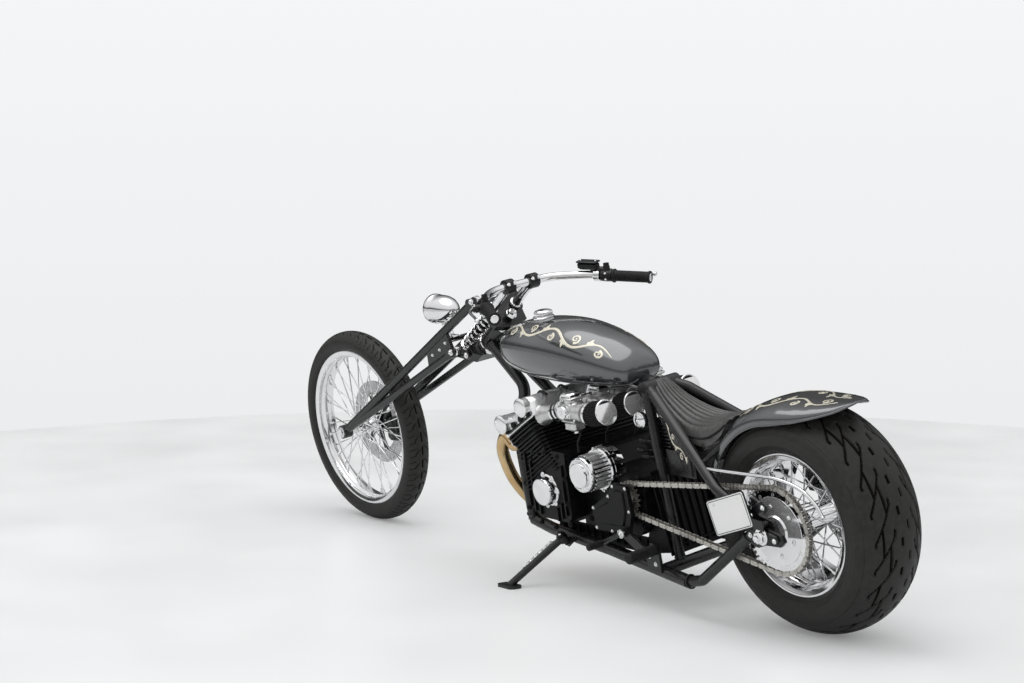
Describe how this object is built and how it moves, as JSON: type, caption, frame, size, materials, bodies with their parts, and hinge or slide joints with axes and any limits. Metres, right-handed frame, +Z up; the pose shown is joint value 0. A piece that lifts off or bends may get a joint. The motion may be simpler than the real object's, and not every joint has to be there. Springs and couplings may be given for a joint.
{
  "type": "chopper motorcycle",
  "caption": "Long raked chopper with girder fork, wide rear tyre, inline engine, teardrop tank and low seat, parked leaning on its side stand.",
  "frame": {"origin": "centre of the machine's outline on the floor it stands on", "axes": "+X forward, +Y to the machine's left, +Z up; the machine leans to its left on the side stand"},
  "size_m": [2.963, 0.7604, 0.9847],
  "materials": {
    "frame_paint": "satin",
    "body_paint": "gloss",
    "engine_black": "satin",
    "bright_chrome": "polished",
    "cast_alloy": "satin",
    "control_black": "satin",
    "filter_black": "matte",
    "tinted_steel": "polished",
    "chain_steel": "satin",
    "disc_steel": "satin",
    "seat_leather": "satin",
    "plate_white": "gloss",
    "grip_rubber": "matte",
    "lamp_glass": "clear",
    "tyre_rubber": "matte"
  },
  "bodies": {
    "chassis": {"frame_neck": "frame_paint", "frame_backbone": "frame_paint", "frame_downtubes": "frame_paint", "frame_rails": "frame_paint", "frame_chain_stays": "frame_paint", "frame_seat_stays": "frame_paint", "frame_axle_plates": "frame_paint", "frame_crossmembers": "frame_paint", "crankcase": "engine_black", "cylinder_block": "engine_black", "cylinder_head": "engine_black", "cam_cover": "bright_chrome", "engine_covers": "bright_chrome", "side_covers": "engine_black", "carburettors": "cast_alloy", "air_filters": "filter_black", "filter_caps": "bright_chrome", "exhaust_headers": "tinted_steel", "silencer": "tinted_steel", "chain": "chain_steel", "front_sprocket": "chain_steel", "fuel_tank": "body_paint", "filler_cap": "bright_chrome", "seat": "seat_leather", "side_panels": "engine_black", "rear_fender": "body_paint", "chain_guard": "bright_chrome", "number_plate": "plate_white", "rear_axle": "bright_chrome", "rear_caliper": "control_black", "foot_controls": "frame_paint", "foot_pegs": "grip_rubber"},
    "rear_wheel": {"rear_tyre": "tyre_rubber", "rear_rim": "bright_chrome", "rear_hub": "bright_chrome", "rear_sprocket": "bright_chrome", "rear_disc": "disc_steel"},
    "fork": {"fork_yokes": "frame_paint", "fork_links": "frame_paint", "girder_legs": "frame_paint", "shock": "bright_chrome", "shock_spring": "bright_chrome", "front_axle": "bright_chrome", "front_caliper": "control_black", "headlamp": "bright_chrome", "headlamp_lens": "lamp_glass", "handlebar": "bright_chrome", "risers": "bright_chrome", "grips": "grip_rubber", "lever_perches": "control_black", "hand_levers": "cast_alloy"},
    "front_wheel": {"front_tyre": "tyre_rubber", "front_rim": "bright_chrome", "front_hub": "bright_chrome", "front_disc": "disc_steel"},
    "side_stand": {"side_stand": "frame_paint"}
  },
  "joints": [
    {"name": "rear_wheel_spin", "type": "hinge", "parent": "chassis", "child": "rear_wheel", "pos_m": [-1.1495, -0.06298, 0.32945], "axis": [0, 0.9863, -0.165], "continuous": true},
    {"name": "steering", "type": "hinge", "parent": "chassis", "child": "fork", "pos_m": [0.25574, 0.00555, 0.73894], "axis": [-0.7983, 0.0994, 0.594], "range_deg": [-30, 30]},
    {"name": "front_wheel_spin", "type": "hinge", "parent": "fork", "child": "front_wheel", "pos_m": [1.1355, -0.06088, 0.34196], "axis": [0, 0.9863, -0.165], "continuous": true},
    {"name": "side_stand_fold", "type": "hinge", "parent": "chassis", "child": "side_stand", "pos_m": [-0.20459, 0.09299, 0.14666], "axis": [0.0005, 0.6649, 0.747], "range_deg": [0, 95]}
  ]
}
